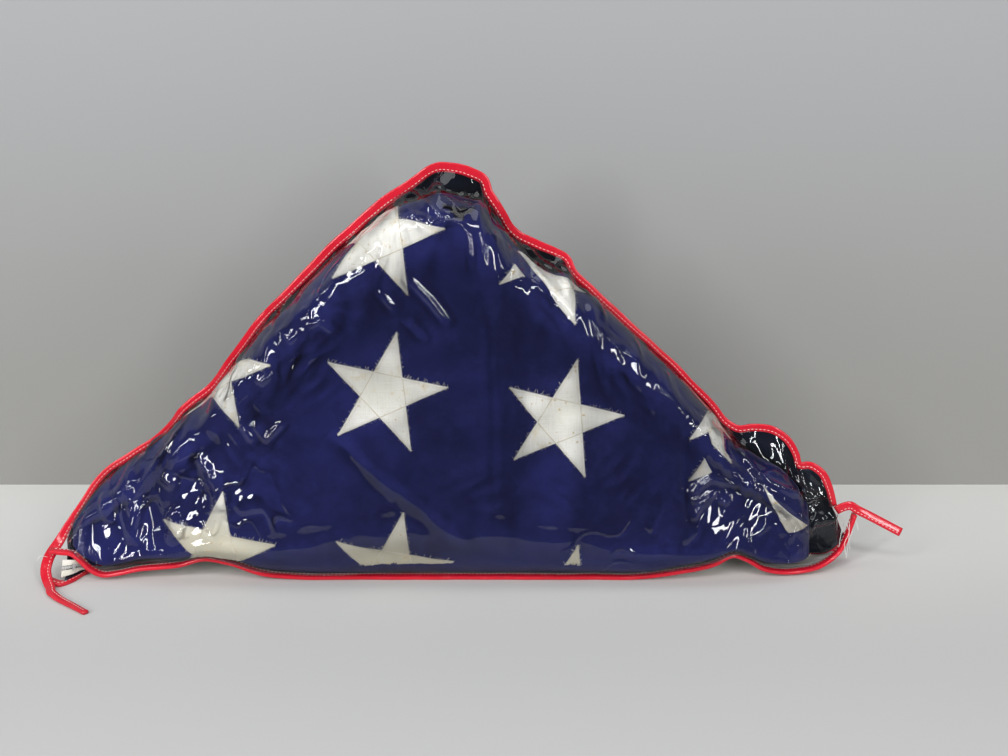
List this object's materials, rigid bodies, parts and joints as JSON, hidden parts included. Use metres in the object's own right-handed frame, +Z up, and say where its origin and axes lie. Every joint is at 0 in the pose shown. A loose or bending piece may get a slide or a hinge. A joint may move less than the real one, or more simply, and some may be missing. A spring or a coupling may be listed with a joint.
{
  "type": "folded flag in a zipped clear case",
  "caption": "Old cotton flag with sewn stars, folded into a triangle inside a clear zipped vinyl case with red binding, standing on its zip edge.",
  "frame": {"origin": "on the flat underside of the zip, midway along the case", "axes": "+X to the right along the zip, +Y to the back of the case, +Z up to its apex"},
  "size_m": [0.6636, 0.1456, 0.3172],
  "materials": {
    "flag_cotton": "navy cotton bunting, faded, plain weave",
    "star_cotton": "off-white cotton with rust stains and frayed edges",
    "clear_vinyl": "clear glossy vinyl film, creased",
    "navy_vinyl": "dark navy vinyl, semi-gloss",
    "red_vinyl": "red vinyl binding, stitched",
    "zip_tape": "white woven zip tape and thread",
    "zip_coil": "pale nylon coil",
    "zip_metal": "small bright stop"
  },
  "bodies": {
    "root": {"flag": "flag_cotton", "star_1": "star_cotton", "star_2": "star_cotton", "star_3": "star_cotton", "star_4": "star_cotton", "star_5": "star_cotton", "star_6": "star_cotton", "star_7": "star_cotton", "star_8": "star_cotton", "star_9": "star_cotton", "star_10": "star_cotton", "case_front": "clear_vinyl", "case_back": "navy_vinyl", "binding_top": "red_vinyl", "binding_tail_right": "red_vinyl", "binding_front": "red_vinyl", "binding_back": "red_vinyl", "zip_tape_front": "zip_tape", "zip_tape_back": "zip_tape", "zip_coil": "zip_coil", "zip_stop": "zip_metal"}
  },
  "joints": []
}
